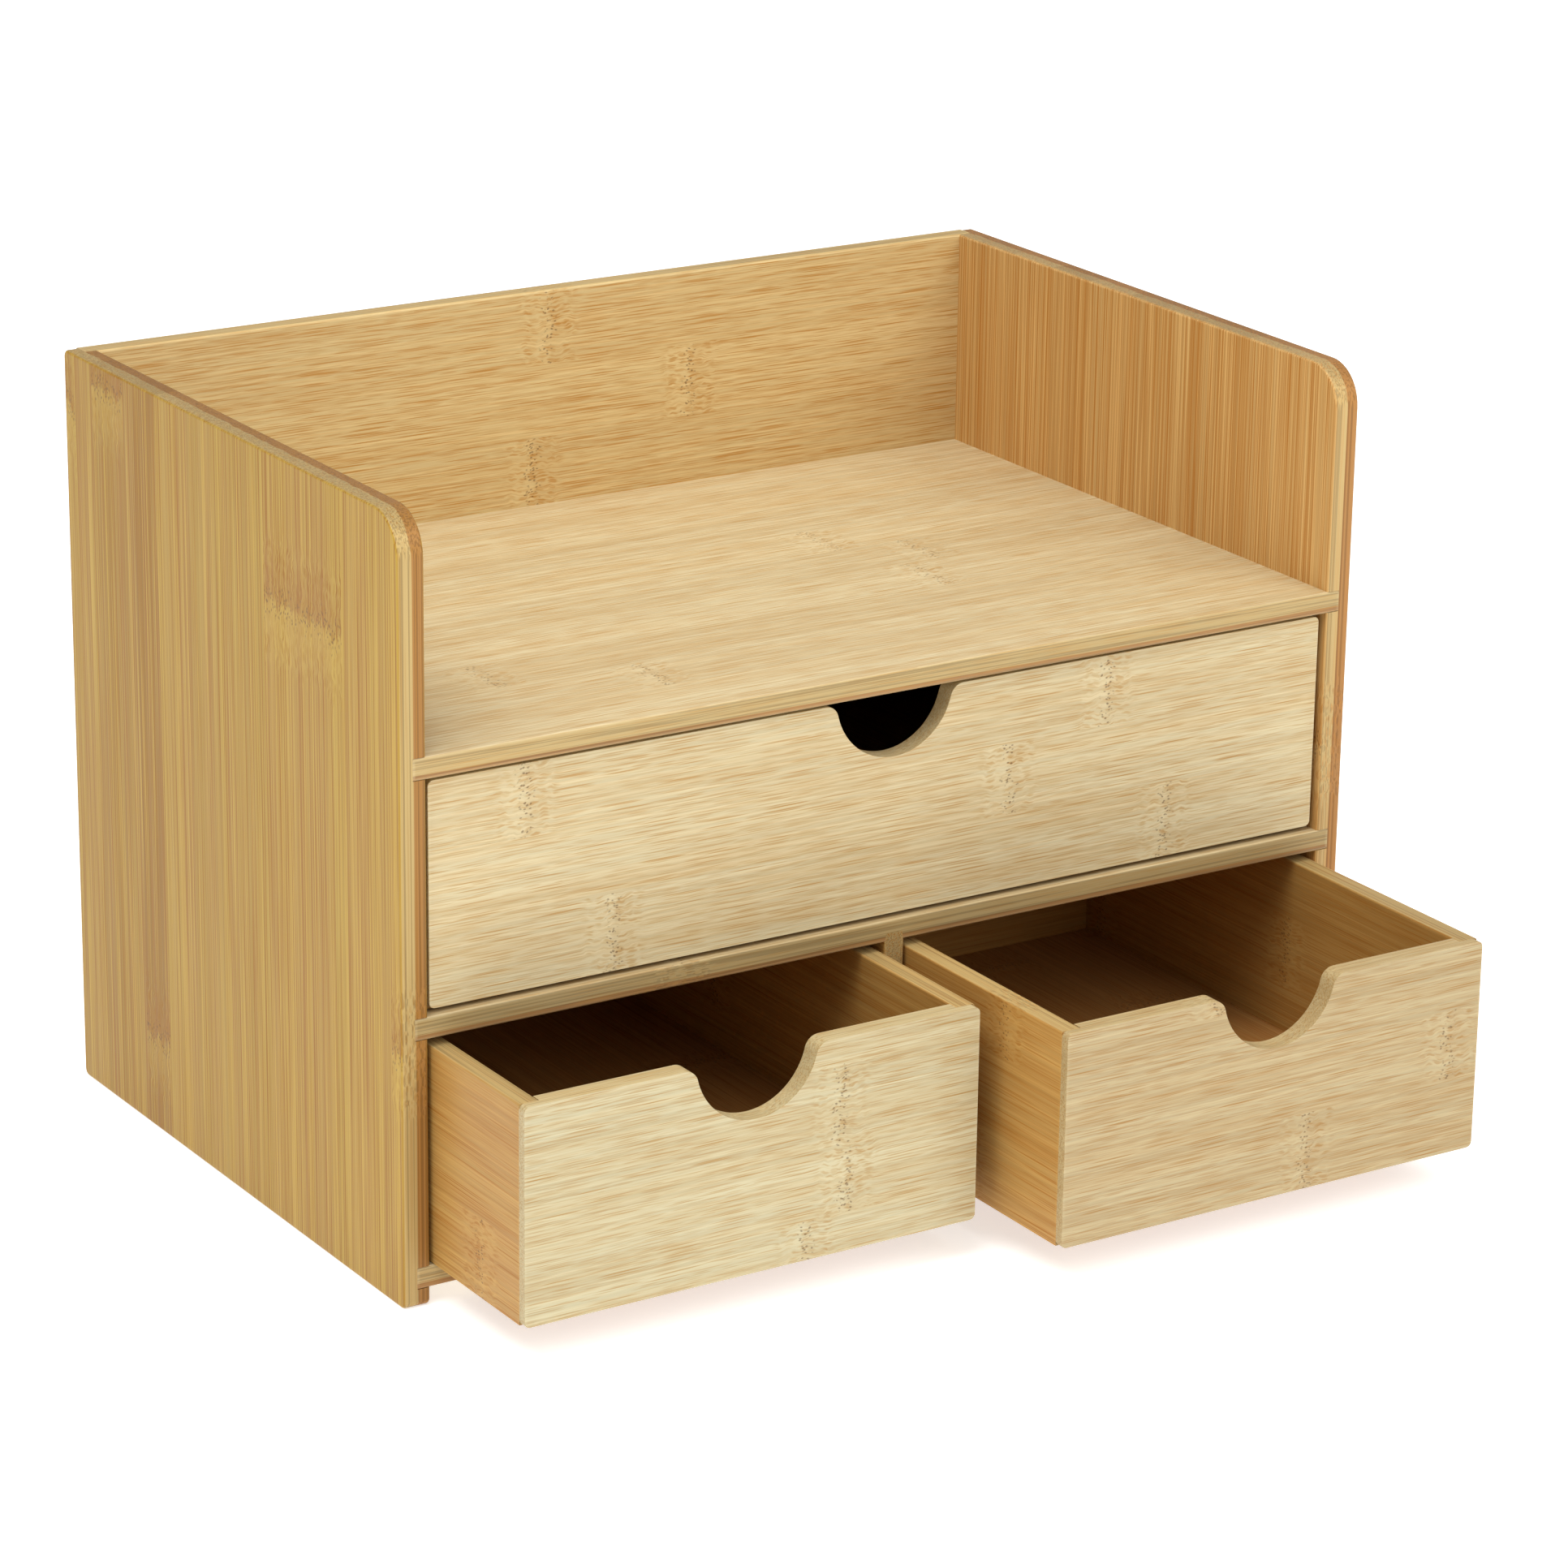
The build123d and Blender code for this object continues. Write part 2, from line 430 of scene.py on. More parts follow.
    def dashes_of(self, pattern, fibre_length, seed):
        """Separate fibre dashes with tapered ends, each of its own strength."""
        wood = self.wood
        length, width, fullness = pattern
        place = self.stretched(fibre_length * length, self.fibre_width * width, seed)
        inputs = {"Vector": place, "Scale": 1.0}
        cells = wood.add("ShaderNodeTexVoronoi", inputs)
        strength = wood.add("ShaderNodeSeparateColor", {0: cells.outputs["Color"]}).outputs[0]
        lens = wood.spread(cells.outputs["Distance"], fullness * 0.5, fullness, 1.0, 0.0)
        return wood.math("MULTIPLY", lens, wood.math("MULTIPLY_ADD", strength, 0.75, 0.25))

    def draw_fibres(self):
        """Fibre dashes, short and wavy at the knots, over long lines and soft bands."""
        wood, board, look = self.wood, self.board, self.look
        point = wood.add("ShaderNodeCombineXYZ", {0: self.along, 1: self.across, 2: self.through})
        curls = {"Vector": point.outputs[0], "Scale": 0.16, "Detail": 2.0}
        curl = wood.add("ShaderNodeTexNoise", curls).outputs[0]
        near = self.near = wood.spread(self.knots, 0.0, 0.4)
        swing = wood.math("MULTIPLY_ADD", curl, 2 * self.bend_reach, -self.bend_reach)
        bend = wood.math("MULTIPLY", swing, near)
        self.place = wood.add("ShaderNodeCombineXYZ", {
            0: wood.math("MULTIPLY_ADD", self.shade, self.shift_per_shade, self.along),
            1: wood.math("ADD", self.across, bend),
            2: self.through,
        }).outputs[0]
        usual_length = look.fibre_length * MM
        self.fibre_length = usual_length * board.looks["stretch"]
        self.fibre_width = look.fibre_width * MM
        seed = board.seed
        long_dashes = self.dashes_of(self.long_dashes, self.fibre_length, seed)
        fine_dashes = self.dashes_of(self.fine_dashes, self.fibre_length, seed + 2)
        long_dashes = wood.math("MAXIMUM", long_dashes, wood.math("MULTIPLY", fine_dashes, 0.6))
        knot_dashes = self.dashes_of(self.knot_dashes, usual_length, seed + 3)
        self.dashes = wood.add("ShaderNodeMix", {0: near, 2: long_dashes, 3: knot_dashes}).outputs[0]
        self.lines = self.streaks(self.long_lines, seed + 5)
        self.pale = self.streaks(self.sap_streaks, seed + 7)
        self.soft = self.streaks(self.soft_patches, seed + 11)
        self.bands = self.streaks(self.narrow_bands, seed + 13)

    def open_pores(self):
        """Open pores in the middle of a knot and in the end grain."""
        wood = self.wood
        place = self.stretched(self.pore_length, self.pore_width, self.board.seed + 17)
        inputs = {"Vector": place, "Scale": 1.0}
        cells = wood.add("ShaderNodeTexVoronoi", inputs).outputs["Distance"]
        dots = wood.spread(cells, 0.22, 0.38, 1.0, 0.0)
        self.pores = wood.math("MULTIPLY", dots, wood.spread(self.knots, 0.86, 0.97))
        self.end_dots = wood.math("MULTIPLY", dots, wood.spread(self.on_end, 0.5, 0.8))

    def colour_face(self):
        """The strip's shade, the soft bands, then dark and pale fibres and the knots."""
        wood, look, looks = self.wood, self.look, self.board.looks
        contrast = looks["contrast"]
        brightness = 1.0
        strip_depth = looks["strip_contrast"]
        shading = (self.shade, strip_depth), (self.soft, 0.06 * contrast), (self.bands, 0.10 * contrast)
        for pattern, depth in shading:
            factor = wood.math("MULTIPLY_ADD", pattern, depth, 1 - depth / 2)
            brightness = wood.math("MULTIPLY", brightness, factor)
        own = toned(getattr(look, self.board.colour), looks["tint"])
        fibre, sap = toned(own, look.fibre), toned(own, [look.sap_lift] * 3)
        warm = wood.math("MULTIPLY_ADD", self.soft, -0.35 * contrast, 0.35 * contrast)
        warm = wood.math("ADD", warm, wood.spread(self.shade, 0.5, 0.0, 0.0, looks["strip_warm"]))
        colour = wood.scaled(wood.mixed(warm, rgba(own), rgba(toned(own, look.warm))), brightness)
        lines = wood.math("MULTIPLY", self.lines, looks["line_strength"])
        depth = wood.math("MULTIPLY_ADD", self.near, -0.15, looks["dash_strength"])
        dark = wood.math("MULTIPLY_ADD", self.dashes, depth, lines)
        colour = wood.mixed(dark, colour, rgba(fibre))
        pale = wood.math("MULTIPLY", self.pale, looks["pale_strength"])
        colour = wood.mixed(pale, colour, rgba(sap))
        ragged = wood.math("MULTIPLY_ADD", self.lines, 0.5, 0.5)
        shadow = wood.math("MULTIPLY", wood.spread(self.sides, 0.0, 1.0), looks["knot_dark"])
        colour = wood.mixed(wood.math("MULTIPLY", shadow, ragged), colour, rgba(fibre))
        light = wood.math("MULTIPLY", wood.spread(self.sides, 0.0, -1.0), looks["knot_pale"])
        colour = wood.mixed(wood.math("MULTIPLY", light, ragged), colour, rgba(sap))
        self.fibre, self.sap = fibre, sap
        self.colour = wood.mixed(wood.math("MULTIPLY", self.pores, 0.6), colour, rgba(look.pore))

    def colour_edges(self):
        """A pale and a dark ply show on the edges, and dots in the end grain."""
        wood, board, look = self.wood, self.board, self.look
        low_ply, high_ply = board.looks["plies"]
        joint = wood.math("MULTIPLY_ADD", self.soft, 0.5, self.through)
        middle = board.looks["joint"]
        upper = wood.spread(joint, middle, middle + 0.3)
        plies = wood.mixed(upper, rgba(getattr(look, low_ply)), rgba(getattr(look, high_ply)))
        plies = wood.mixed(wood.math("MULTIPLY", self.dashes, 0.5), plies, rgba(self.fibre))
        plies = wood.scaled(plies, wood.math("MULTIPLY_ADD", self.lines, -0.35, 1.12))
        plies = wood.scaled(plies, wood.math("MULTIPLY_ADD", self.shade, 0.3, 0.82))
        on_edge = wood.spread(self.on_face, 0.45, 0.85, board.looks["ply_show"], 0.0)
        colour = wood.mixed(on_edge, self.colour, plies)
        end_shade = wood.spread(self.on_end, 0.5, 0.8, 1.0, board.looks["end_shade"])
        colour = wood.scaled(colour, end_shade)
        self.colour = wood.mixed(wood.math("MULTIPLY", self.end_dots, 0.6), colour, rgba(self.fibre))

    def paint_edge_highlights(self):
        """Painted highlight: sanded corners are painted a little paler, unevenly along their length, where
        light would catch their round.
        """
        wood, board, look = self.wood, self.board, self.look
        to_end, to_side, to_face = (
            wood.math("SUBTRACT", board.size(axis) / 2, wood.math("ABSOLUTE", value))
            for axis, value in (
                (board.grain, self.along), (board.width_axis, self.across), (board.face, self.through)
            )
        )
        nearest = wood.math("MINIMUM", to_end, to_side)
        farther = wood.math("MAXIMUM", to_end, to_side)
        corner = wood.math("MAXIMUM", nearest, wood.math("MINIMUM", farther, to_face))
        highlight_width = look.edge_highlight_width * MM
        # Painted highlight: the paler sap colour is mixed in along every edge of the board's box
        painted_highlight = wood.spread(corner, highlight_width * 0.3, highlight_width, 1.0, 0.0)
        painted_highlight = wood.math("MULTIPLY", painted_highlight, wood.math("MULTIPLY_ADD", self.soft, 0.18, 0.04))
        self.colour = wood.mixed(painted_highlight, self.colour, rgba(self.sap))

    def lacquer(self):
        """Satin lacquer that lies a little lower in the fibres and the pores."""
        wood, look = self.wood, self.look
        hollow = wood.math("MULTIPLY_ADD", self.dashes, 0.5, self.pores)
        hollow = wood.math("ADD", hollow, self.end_dots)
        height = wood.math("MULTIPLY_ADD", self.pale, 0.3, wood.math("MULTIPLY", hollow, -1.0))
        bump = wood.add("ShaderNodeBump", {"Strength": 0.3, "Distance": 0.00005, "Height": height})
        dull = wood.math("MULTIPLY_ADD", self.soft, 0.08, look.roughness - 0.04)
        dull = wood.math("MULTIPLY_ADD", self.dashes, 0.10, dull)
        shader = wood.add("ShaderNodeBsdfPrincipled", {
            "Base Color": self.colour, "Roughness": dull, "Normal": bump.outputs[0],
            "Specular IOR Level": 0.2, "Coat Weight": look.coat, "Coat Roughness": look.coat_roughness,
        })
        wood.add("ShaderNodeOutputMaterial", {"Surface": shader.outputs[0]})


def finish_board(board, look):
    """Gives a board of the frame its own bamboo finish."""
    material = Bamboo(board, look).material
    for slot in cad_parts[board.node].material_slots:
        slot.material = material


# ---- drawer fronts -------------------------------------------------------------------------


def open_group(name, inputs):
    """An empty geometry tree with a material and the named lengths as inputs."""
    group = bpy.data.node_groups.new(name, "GeometryNodeTree")
    group.interface.new_socket(name="Geometry", in_out="INPUT", socket_type="NodeSocketGeometry")
    for socket in inputs:
        group.interface.new_socket(name=socket, in_out="INPUT", socket_type="NodeSocketFloat")
    group.interface.new_socket(name="Material", in_out="INPUT", socket_type="NodeSocketMaterial")
    group.interface.new_socket(name="Geometry", in_out="OUTPUT", socket_type="NodeSocketGeometry")
    return group, Nodes(group)


def close_group(nodes, geometry, material):
    """Ends a geometry tree in real faces with their material."""
    real = nodes.add("GeometryNodeRealizeInstances", {0: geometry}).outputs[0]
    painted = nodes.add("GeometryNodeSetMaterial", {"Geometry": real, "Material": material})
    nodes.add("NodeGroupOutput", {0: painted.outputs[0]})


def arc(nodes, radius, start, sweep, x, y, steps):
    """An arc of a circle round a point of the outline's plane."""
    curve = nodes.add("GeometryNodeCurveArc", {
        "Resolution": steps, "Radius": radius, "Start Angle": start, "Sweep Angle": sweep,
    }, mode="RADIUS").outputs[0]
    return moved(nodes, curve, x, y)


def straight(nodes, start, end):
    ends = [nodes.add("ShaderNodeCombineXYZ", {0: x, 1: y}).outputs[0] for x, y in (start, end)]
    return nodes.add("GeometryNodeCurvePrimitiveLine", {"Start": ends[0], "End": ends[1]}).outputs[0]


def moved(nodes, geometry, x=0.0, y=0.0, z=0.0):
    place = nodes.add("ShaderNodeCombineXYZ", {0: x, 1: y, 2: z}).outputs[0]
    return nodes.add("GeometryNodeTransform", {"Geometry": geometry, "Translation": place}).outputs[0]


def joined(nodes, parts):
    join = nodes.add("GeometryNodeJoinGeometry")
    for part in reversed(parts):
        nodes.tree.links.new(part, join.inputs[0])
    return join.outputs[0]


def welded(nodes, geometry):
    inputs = {"Geometry": geometry, "Distance": WELD}
    return nodes.add("GeometryNodeMergeByDistance", inputs).outputs[0]


BLANK_SIZES = (
    "Width", "Height", "Thickness", "Corner radius", "Notch radius", "Notch rise", "Shoulder radius",
    "Outer round", "Inner round",
)
JOINT_SIZES = (
    "Width", "Height", "Thickness", "Side board", "Tongue", "Groove depth", "Groove foot", "Groove height",
)
WELD = 0.00001       # points nearer than this are one point
CORNER_STEPS, SHOULDER_STEPS, NOTCH_STEPS = 6, 12, 48
EDGE_STEPS = 4       # facets across a sanded edge
RIM_SHARE = 0.3      # the inner edge is sanded above this share of the front's height
CREASE = math.radians(35)  # an edge that turns more than this stays crisp
CUT_SPARE = 0.004    # how far a cut reaches past the wood that it takes away


def front_blank_group():
    """A drawer front before its joints are cut: a board with round corners and a finger notch.

    The notch is an arc whose centre lies a little above the upper edge. Two shoulder arcs run
    tangent from that edge into the notch, so their place follows from the two radii.
    """
    group, nodes = open_group("drawer_front_blank", BLANK_SIZES)
    size = nodes.add("NodeGroupInput").outputs
    half = nodes.math("MULTIPLY", size["Width"], 0.5)
    top, corner, shoulder = size["Height"], size["Corner radius"], size["Shoulder radius"]
    reach = nodes.math("ADD", size["Notch radius"], shoulder)
    drop = nodes.math("ADD", size["Notch rise"], shoulder)
    reach_squared, drop_squared = nodes.math("POWER", reach, 2.0), nodes.math("POWER", drop, 2.0)
    across = nodes.math("SQRT", nodes.math("SUBTRACT", reach_squared, drop_squared))
    slope = nodes.math("ARCSINE", nodes.math("DIVIDE", drop, reach))
    quarter = math.pi / 2
    bend = nodes.math("SUBTRACT", quarter, slope)
    left = nodes.math("MULTIPLY", half, -1.0)
    left_across = nodes.math("MULTIPLY", across, -1.0)
    near_top, near_right = nodes.math("SUBTRACT", top, corner), nodes.math("SUBTRACT", half, corner)
    near_left = nodes.math("MULTIPLY", near_right, -1.0)
    shoulder_y = nodes.math("SUBTRACT", top, shoulder)
    notch_y = nodes.math("ADD", top, size["Notch rise"])
    outline = joined(nodes, [
        arc(nodes, size["Notch radius"], nodes.math("SUBTRACT", slope, math.pi),
            nodes.math("MULTIPLY", bend, 2.0), 0.0, notch_y, NOTCH_STEPS),
        arc(nodes, shoulder, slope, bend, left_across, shoulder_y, SHOULDER_STEPS),
        arc(nodes, shoulder, quarter, bend, across, shoulder_y, SHOULDER_STEPS),
        straight(nodes, (across, top), (near_right, top)),
        arc(nodes, corner, 0.0, quarter, near_right, near_top, CORNER_STEPS),
        straight(nodes, (half, near_top), (half, corner)),
        arc(nodes, corner, 3 * quarter, quarter, near_right, corner, CORNER_STEPS),
        straight(nodes, (near_right, 0.0), (near_left, 0.0)),
        arc(nodes, corner, 2 * quarter, quarter, near_left, corner, CORNER_STEPS),
        straight(nodes, (left, corner), (left, near_top)),
        arc(nodes, corner, quarter, quarter, near_left, near_top, CORNER_STEPS),
        straight(nodes, (near_left, top), (left_across, top)),
    ])
    wires = welded(nodes, nodes.add("GeometryNodeCurveToMesh", {0: outline}).outputs[0])
    loop = nodes.add("GeometryNodeMeshToCurve", {0: wires}).outputs[0]
    sheet = nodes.add("GeometryNodeFillCurve", {0: loop}, mode="NGONS").outputs[0]
    up = nodes.add("ShaderNodeCombineXYZ", {2: 1.0}).outputs[0]
    raised = nodes.add("GeometryNodeExtrudeMesh", {
        "Mesh": sheet, "Offset": up, "Offset Scale": size["Thickness"], "Individual": False,
    }).outputs[0]
    underside = nodes.add("GeometryNodeFlipFaces", {0: sheet}).outputs[0]
    board = welded(nodes, joined(nodes, [raised, underside]))
    position = nodes.add("GeometryNodeInputPosition").outputs[0]
    place = nodes.add("ShaderNodeSeparateXYZ", {0: position}).outputs
    outer = nodes.math("GREATER_THAN", place["Z"], nodes.math("SUBTRACT", size["Thickness"], WELD))
    inner = nodes.math("LESS_THAN", place["Z"], WELD)
    upper = nodes.math("GREATER_THAN", place["Y"], nodes.math("MULTIPLY", top, RIM_SHARE))
    inside = nodes.math("LESS_THAN", nodes.math("ABSOLUTE", place["X"]), near_right)
    rim = nodes.math("MULTIPLY", inner, nodes.math("MULTIPLY", upper, inside))
    share_inside = nodes.math("DIVIDE", size["Inner round"], size["Outer round"])
    weight = nodes.math("MULTIPLY_ADD", rim, share_inside, outer)
    marked = nodes.add("GeometryNodeStoreNamedAttribute", {
        "Geometry": board, "Name": "bevel_weight_edge", "Value": weight,
    }, data_type="FLOAT", domain="EDGE").outputs[0]
    turned = {"Geometry": marked, "Rotation": (quarter, 0.0, 0.0)}
    upright = nodes.add("GeometryNodeTransform", turned).outputs[0]
    close_group(nodes, moved(nodes, upright, y=size["Thickness"]), size["Material"])
    return group


def front_joints_group():
    """Cuts a drawer front's end rabbets and the groove that holds the drawer's bottom."""
    group, nodes = open_group("drawer_front_joints", JOINT_SIZES)
    size = nodes.add("NodeGroupInput").outputs

    def block(x_size, y_size, z_size, x, y, z):
        corners = nodes.add("ShaderNodeCombineXYZ", {0: x_size, 1: y_size, 2: z_size}).outputs[0]
        return moved(nodes, nodes.add("GeometryNodeMeshCube", {"Size": corners}).outputs[0], x, y, z)

    half = nodes.math("MULTIPLY", size["Width"], 0.5)
    half_side = nodes.math("MULTIPLY", size["Side board"], 0.5)
    end_x = nodes.math("SUBTRACT", nodes.math("ADD", half, CUT_SPARE / 2), half_side)
    end_size = nodes.math("ADD", size["Side board"], CUT_SPARE)
    rabbet = nodes.math("ADD", nodes.math("SUBTRACT", size["Thickness"], size["Tongue"]), CUT_SPARE)
    rabbet_y = nodes.math("MULTIPLY_ADD", rabbet, 0.5, size["Tongue"])
    tall = nodes.math("ADD", size["Height"], 2 * CUT_SPARE)
    middle_z = nodes.math("MULTIPLY", size["Height"], 0.5)
    groove_x = nodes.math("SUBTRACT", size["Width"], nodes.math("MULTIPLY", size["Side board"], 2.0))
    groove = nodes.math("ADD", size["Groove depth"], CUT_SPARE)
    groove_floor = nodes.math("SUBTRACT", size["Thickness"], size["Groove depth"])
    groove_y = nodes.math("MULTIPLY_ADD", groove, 0.5, groove_floor)
    groove_z = nodes.math("MULTIPLY_ADD", size["Groove height"], 0.5, size["Groove foot"])
    cuts = [
        block(end_size, rabbet, tall, end_x, rabbet_y, middle_z),
        block(end_size, rabbet, tall, nodes.math("MULTIPLY", end_x, -1.0), rabbet_y, middle_z),
        block(groove_x, groove, size["Groove height"], 0.0, groove_y, groove_z),
    ]
    cutter = nodes.add("GeometryNodeMeshBoolean", operation="DIFFERENCE", solver="EXACT")
    nodes.tree.links.new(size["Geometry"], cutter.inputs["Mesh 1"])
    for cut in cuts:
        nodes.tree.links.new(cut, cutter.inputs["Mesh 2"])
    smooth = nodes.add("GeometryNodeSetShadeSmooth", {"Geometry": cutter.outputs[0]}).outputs[0]
    angle = nodes.add("GeometryNodeInputMeshEdgeAngle").outputs[0]
    sharp = nodes.math("GREATER_THAN", angle, CREASE)
    crisp = nodes.add("GeometryNodeSetShadeSmooth", {
        "Geometry": smooth, "Selection": sharp, "Shade Smooth": False,
    }, domain="EDGE").outputs[0]
    close_group(nodes, crisp, size["Material"])
    return group


def add_tree(piece, group, values):
    """Adds a geometry tree to a piece and sets its inputs by their identifiers."""
    modifier = piece.modifiers.new(group.name, "NODES")
    modifier.node_group = group
    for socket in group.interface.items_tree:
        if socket.in_out == "INPUT" and socket.name in values:
            modifier[socket.identifier] = values[socket.name]


def as_plain_mesh(piece, name):
    """The piece with its modifiers taken into its mesh."""
    graph = bpy.context.evaluated_depsgraph_get()
    mesh = bpy.data.meshes.new_from_object(piece.evaluated_get(graph), depsgraph=graph)
    mesh.name = name
    piece.modifiers.clear()
    piece.data = mesh


def make_drawer_front(drawer, groups, shape, material):
    """One drawer front, sized and placed by the frame, with its joints cut for its neighbours."""
    node = drawer + "_front"
    low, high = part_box(node)
    side_low, side_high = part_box(drawer + "_left_side")
    bottom_low, bottom_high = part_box(drawer + "_bottom")
    values = {
        "Width": high.x - low.x, "Height": high.z - low.z, "Thickness": high.y - low.y,
        "Corner radius": shape.corner_radius, "Notch radius": shape.notch_radius,
        "Notch rise": shape.notch_rise, "Shoulder radius": shape.shoulder_radius,
        "Outer round": shape.outer_round, "Inner round": shape.inner_round,
        "Side board": side_high.x - side_low.x, "Tongue": side_low.y - low.y,
        "Groove depth": shape.groove_depth, "Groove foot": bottom_low.z - low.z,
        "Groove height": bottom_high.z - bottom_low.z, "Material": material,
    }
    name = drawer + "_front_board"
    piece = bpy.data.objects.new(name, bpy.data.meshes.new(name + "_start"))
    bpy.context.scene.collection.objects.link(piece)
    blank, joints = groups
    add_tree(piece, blank, values)
    bevel = piece.modifiers.new("sanded_edges", "BEVEL")
    bevel.limit_method = "WEIGHT"
    bevel.offset_type = "OFFSET"
    bevel.width = shape.outer_round
    bevel.segments = EDGE_STEPS
    add_tree(piece, joints, values)
    piece.modifiers.new("flat_faces", "WEIGHTED_NORMAL").keep_sharp = True
    as_plain_mesh(piece, name)
    if not piece.data.polygons:
        raise RuntimeError(f"{name} came out empty")
    piece.data.materials.clear()
    piece.data.materials.append(material)
    middle = (low + high) / 2
    piece.data.transform(Matrix.Translation((middle.x, low.y, low.z)))
    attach(piece, drawer)
    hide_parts(node)


# ---- operators -----------------------------------------------------------------------------


class ORGANIZER_OT_side_panels(bpy.types.Operator):
    """Finish the two sides: upright grain, pale and dark plies on the front edge"""

    bl_idname = "organizer.side_panels"
    bl_label = "Side Panels"

    def execute(self, context):
        look = context.scene.organizer_bamboo
        left_strips = [
            Strip(6, 0.6, -40), Strip(27, 0.35), Strip(47, 0.2, 74), Strip(48, 0.05),
            Strip(20, 0.2), Strip(16, -0.75, -87), Strip(6, -0.3), Strip(21, -0.4, 111), Strip(12, 0.1),
        ]
        looks = {
            "stretch": 5.0, "plies": ("pale_ply", "dark_ply"), "dash_strength": 0.8, "line_strength": 0.7,
            "strip_contrast": 0.7, "strip_warm": 0.9, "knot_dark": 0.8, "knot_pale": 0.45,
            "reach": 2.0, "flame": 9.0, "pale_strength": 0.8,
        }
        # The left side keeps the side colour with its painted shade
        finish_board(Board("left_side_panel", "Z", "X", "side", 11, left_strips, **looks), look)
        # Painted light: the right side is the same bamboo, made lighter and less saturated by its tint so
        # that its inner face looks lit
        looks.update(tint=(1.47, 1.42, 3.2), knot_span=(-1, 0.1), strip_contrast=0.14, strip_warm=0.3)
        finish_board(Board("right_side_panel", "Z", "X", "side", 23, **looks), look)
        return {"FINISHED"}


class ORGANIZER_OT_back_panel(bpy.types.Operator):
    """Finish the back: level grain with strong orange lines"""

    bl_idname = "organizer.back_panel"
    bl_label = "Back Panel"

    def execute(self, context):
        look = context.scene.organizer_bamboo
        strips = [
            Strip(5.4, 0), Strip(22, 0.3, 90), Strip(22, -0.2, -70), Strip(22, 0, 20), Strip(22, 0.2, 120),
            Strip(22, -0.3, -110), Strip(22, 0.1, 60), Strip(22, 0.2, -40), Strip(22, -0.2, -6),
            Strip(24, 0.3, 52), Strip(24, -0.1, 0),
        ]
        looks = {"dash_strength": 0.95, "line_strength": 0.35, "contrast": 0.6, "knot_dark": 0.3}
        finish_board(Board("back_panel", "X", "Y", "back", 31, strips, **looks), look)
        return {"FINISHED"}


class ORGANIZER_OT_shelves(bpy.types.Operator):
    """Finish the tray's floor, the middle shelf and the base panel"""

    bl_idname = "organizer.shelves"
    bl_label = "Shelves"

    def execute(self, context):
        look = context.scene.organizer_bamboo
        front_strips = [Strip(22, 0.3), Strip(22, -0.1, -64)]
        looks = {"plies": ("dark_ply", "pale_ply"), "joint": -1.4}
        for seed, node in enumerate(("top_shelf", "middle_shelf", "base_panel"), 41):
            strips = front_strips if node == "top_shelf" else ()
            finish_board(Board(node, "X", "Z", "shelf", seed, strips, **looks), look)
        return {"FINISHED"}


class ORGANIZER_OT_divider(bpy.types.Operator):
    """Finish the upright between the lower drawers"""

    bl_idname = "organizer.divider"
    bl_label = "Drawer Divider"

    def execute(self, context):
        board = Board("drawer_divider", "Y", "X", "box", 51, stretch=3.0)
        finish_board(board, context.scene.organizer_bamboo)
        return {"FINISHED"}


class ORGANIZER_OT_drawer_fronts(bpy.types.Operator):
    """Finish the three drawer fronts: pale level grain with short fibre dashes"""

    bl_idname = "organizer.drawer_fronts"
    bl_label = "Drawer Fronts"

    def execute(self, context):
        look, shape = context.scene.organizer_bamboo, context.scene.organizer_fronts
        # Each front's tint: the left front's is painted shade that keeps it as dark as the wide front though
        # it stands out in more light; the right front's is partly its own darker, more orange bamboo and
        # partly painted shade
        lay_ups = {
            "wide_drawer": (
                (1.0, 1.0, 1.0),
                [Strip(23.7, 0.0, -95, 99), Strip(22, 0.35, 41), Strip(22, -0.2, -124, 76)],
            ),
            "left_drawer": (
                (0.84, 0.88, 0.92),
                [Strip(12.2, 0.1, 17), Strip(23, 0.3, 30), Strip(23, 0.0, 28), Strip(8, 0.4)],
            ),
            "right_drawer": (
                (0.74, 0.70, 0.65),
                [Strip(24.2, -0.1, 12), Strip(22, 0.2, 64), Strip(15, -0.4), Strip(5, 0.3, -23)],
            ),
        }
        groups = front_blank_group(), front_joints_group()
        for seed, (drawer, (tone_and_painted_shade, strips)) in enumerate(lay_ups.items(), 61):
            looks = {"ply_show": 0.4, "end_shade": 0.97, "tint": tone_and_painted_shade}
            board = Board(drawer + "_front", "X", "Y", "front", seed, strips, **looks)
            make_drawer_front(drawer, groups, shape, Bamboo(board, look).material)
        return {"FINISHED"}


class ORGANIZER_OT_drawer_boxes(bpy.types.Operator):
    """Finish the sides and the back of every drawer"""

    bl_idname = "organizer.drawer_boxes"
    bl_label = "Drawer Boxes"

    def execute(self, context):
        look = context.scene.organizer_bamboo
        seed = 71
        for drawer in ("wide_drawer", "left_drawer", "right_drawer"):
            for name, grain, face in (("left_side", "Y", "X"), ("right_side", "Y", "X"), ("back", "X", "Y")):
                finish_board(Board(f"{drawer}_{name}", grain, face, "box", seed, stretch=2.5), look)
                seed += 1
        return {"FINISHED"}


class ORGANIZER_OT_drawer_floors(bpy.types.Operator):
    """Finish the thin bottoms of the drawers, grain from front to back"""

    bl_idname = "organizer.drawer_floors"
    bl_label = "Drawer Floors"

    def execute(self, context):
        for seed, drawer in enumerate(("wide_drawer", "left_drawer", "right_drawer"), 91):
            board = Board(f"{drawer}_bottom", "Y", "Z", "floor", seed, stretch=3.0)
            finish_board(board, context.scene.organizer_bamboo)
        return {"FINISHED"}


